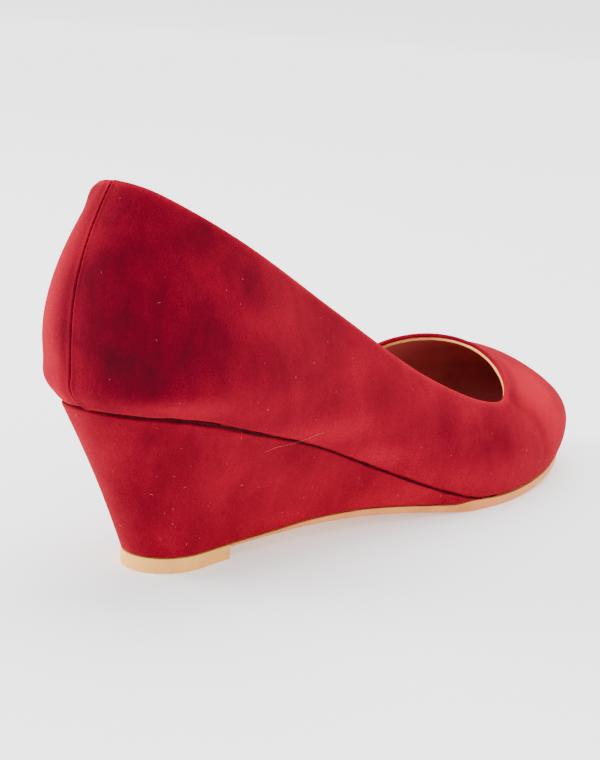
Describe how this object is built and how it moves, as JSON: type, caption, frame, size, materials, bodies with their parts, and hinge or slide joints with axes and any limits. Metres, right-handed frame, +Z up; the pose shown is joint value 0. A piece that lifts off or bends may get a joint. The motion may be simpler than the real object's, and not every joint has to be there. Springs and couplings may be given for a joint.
{
  "type": "wedge_pump",
  "caption": "Women's wedge pump: closed almond toe, one-piece velour upper, covered low wedge heel, thin sole and heel tip.",
  "frame": {"origin": "Middle of the heel tip's flat underside, on the floor.", "axes": "+X runs from the heel to the toe, +Y to the wearer's left (the inner side of this right shoe), +Z up from the floor."},
  "size_m": [0.2489, 0.0786, 0.1075],
  "materials": {
    "red_velour": "napped faux suede, matt with a bright rim at grazing angles",
    "insole_leather": "smooth dark brown-red lining leather, satin",
    "wedge_velour": "napped faux suede wrapped round the wedge, matt",
    "beige_outsole": "thin tan outsole sheet, matt with a fine grain",
    "beige_tip": "hard beige heel tip, satin"
  },
  "bodies": {
    "root": {"upper": "red_velour", "insole": "insole_leather", "wedge": "wedge_velour", "outsole": "beige_outsole", "heel_tip": "beige_tip"}
  },
  "joints": []
}
